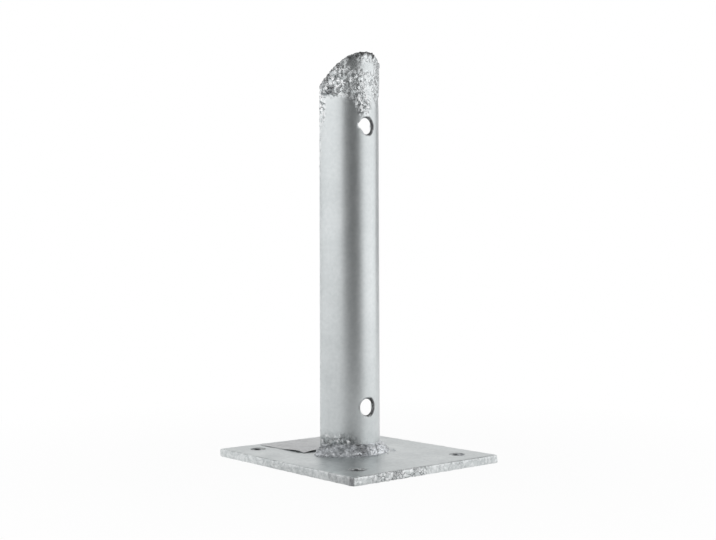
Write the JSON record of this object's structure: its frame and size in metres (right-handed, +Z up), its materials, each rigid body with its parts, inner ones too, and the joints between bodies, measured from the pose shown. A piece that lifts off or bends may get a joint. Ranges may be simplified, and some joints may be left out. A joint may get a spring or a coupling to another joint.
{
  "type": "timber post base",
  "caption": "Galvanised post base: a half tube with a mitred top and bolt holes stands welded on a flat rectangular plate with anchor holes.",
  "frame": {"origin": "middle of the base plate's underside", "axes": "+Z up along the half tube; -Y is the side that the round front of the half tube faces, and +Y the side it is open to; +X completes the right-handed frame, along the plate's shorter side"},
  "size_m": [0.13, 0.15, 0.286],
  "materials": {
    "galvanised_steel": "hot-dip zinc, satin, with rough runs and specks near the ends",
    "galvanised_weld": "zinc-coated weld bead, rough, darker at its toe",
    "label_paper": "blank pale adhesive label, matt"
  },
  "bodies": {
    "root": {"base_plate": "galvanised_steel", "upright": "galvanised_steel", "weld_bead": "galvanised_weld", "blank_label": "label_paper"}
  },
  "joints": []
}
